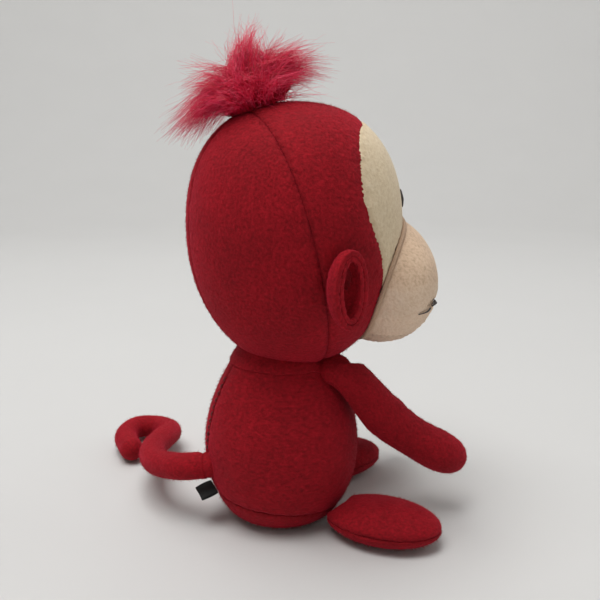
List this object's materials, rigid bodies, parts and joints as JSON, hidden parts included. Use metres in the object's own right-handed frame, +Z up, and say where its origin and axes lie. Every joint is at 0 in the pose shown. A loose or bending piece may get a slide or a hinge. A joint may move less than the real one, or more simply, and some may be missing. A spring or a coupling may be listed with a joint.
{
  "type": "plush monkey",
  "caption": "Sitting plush monkey with a large egg-shaped head, round muzzle, cupped ears, hair tuft, sewn arms and feet, and a long curled tail.",
  "frame": {"origin": "centre of the flat sewn seat, on the surface the toy sits on", "axes": "+Z up through the torso to the head; the toy faces -Y; +X is the toy's own left"},
  "size_m": [0.168, 0.139, 0.2026],
  "materials": {
    "red_plush": "short-pile plush",
    "cream_plush": "short-pile plush",
    "peach_plush": "minky plush",
    "dark_thread": "satin-stitched thread",
    "polyester_filling": "loose fibre",
    "pouch_cloth": "plain woven",
    "pellets": "matte",
    "label_ribbon": "woven ribbon",
    "tuft_fur": "long-pile fur"
  },
  "bodies": {
    "torso": {"torso_left_panel": "red_plush", "torso_right_panel": "red_plush", "torso_base_panel": "red_plush", "torso_stuffing": "polyester_filling", "bean_pouch": "pouch_cloth", "pellet_fill": "pellets", "care_label": "label_ribbon"},
    "neck": {"neck_stuffing": "polyester_filling"},
    "head": {"head_back_left_panel": "red_plush", "head_back_right_panel": "red_plush", "hood_panel": "red_plush", "face_panel": "cream_plush", "muzzle_panel": "peach_plush", "chin_panel": "peach_plush", "mouth_embroidery": "dark_thread", "left_eye": "dark_thread", "right_eye": "dark_thread", "head_stuffing": "polyester_filling", "muzzle_stuffing": "polyester_filling", "tuft_base": "tuft_fur", "hair_tuft": "tuft_fur"},
    "right_ear": {"right_ear_outer": "red_plush", "right_ear_inner": "red_plush"},
    "left_ear": {"left_ear_outer": "red_plush", "left_ear_inner": "red_plush"},
    "right_arm": {"right_arm_outer_panel": "red_plush", "right_arm_inner_panel": "red_plush", "right_arm_stuffing": "polyester_filling"},
    "left_arm": {"left_arm_outer_panel": "red_plush", "left_arm_inner_panel": "red_plush", "left_arm_stuffing": "polyester_filling"},
    "right_foot": {"right_foot_top_panel": "red_plush", "right_foot_sole_panel": "red_plush", "right_foot_stuffing": "polyester_filling"},
    "left_foot": {"left_foot_top_panel": "red_plush", "left_foot_sole_panel": "red_plush", "left_foot_stuffing": "polyester_filling"},
    "tail": {"tail_cover": "red_plush", "tail_stuffing": "polyester_filling"}
  },
  "joints": [
    {"name": "head_nod", "type": "hinge", "parent": "torso", "child": "neck", "pos_m": [0, -0.006, 0.068], "axis": [1, 0, 0], "range_deg": [-8, 8], "stiffness_Nm_per_rad": 0.9},
    {"name": "neck_turn", "type": "hinge", "parent": "neck", "child": "head", "pos_m": [0, -0.006, 0.068], "axis": [0, 0, 1], "range_deg": [-25, 25], "stiffness_Nm_per_rad": 0.25},
    {"name": "right_ear_fold", "type": "hinge", "parent": "head", "child": "right_ear", "pos_m": [-0.0442, -0.004, 0.1075], "axis": [0, 0, 1], "range_deg": [-15, 15], "stiffness_Nm_per_rad": 0.004},
    {"name": "right_arm_swing", "type": "hinge", "parent": "torso", "child": "right_arm", "pos_m": [-0.017, -0.016, 0.069], "axis": [1, 0, 0], "range_deg": [-25, 12], "stiffness_Nm_per_rad": 0.04},
    {"name": "left_ear_fold", "type": "hinge", "parent": "head", "child": "left_ear", "pos_m": [0.0442, -0.004, 0.1075], "axis": [0, 0, -1], "range_deg": [-15, 15], "stiffness_Nm_per_rad": 0.004},
    {"name": "left_arm_swing", "type": "hinge", "parent": "torso", "child": "left_arm", "pos_m": [0.017, -0.016, 0.069], "axis": [1, 0, 0], "range_deg": [-25, 3], "stiffness_Nm_per_rad": 0.04},
    {"name": "right_leg_lift", "type": "hinge", "parent": "torso", "child": "right_foot", "pos_m": [-0.0233, -0.01345, 0.008], "axis": [0.7431, -0.6691, 0], "range_deg": [-12, 25], "stiffness_Nm_per_rad": 0.03},
    {"name": "left_leg_lift", "type": "hinge", "parent": "torso", "child": "left_foot", "pos_m": [0.0233, -0.01345, 0.008], "axis": [0.9781, 0.2079, 0], "range_deg": [-12, 25], "stiffness_Nm_per_rad": 0.03},
    {"name": "tail_swing", "type": "hinge", "parent": "torso", "child": "tail", "pos_m": [0, 0.0326, 0.026], "axis": [0, 0, 1], "range_deg": [-25, 25], "stiffness_Nm_per_rad": 0.02}
  ]
}
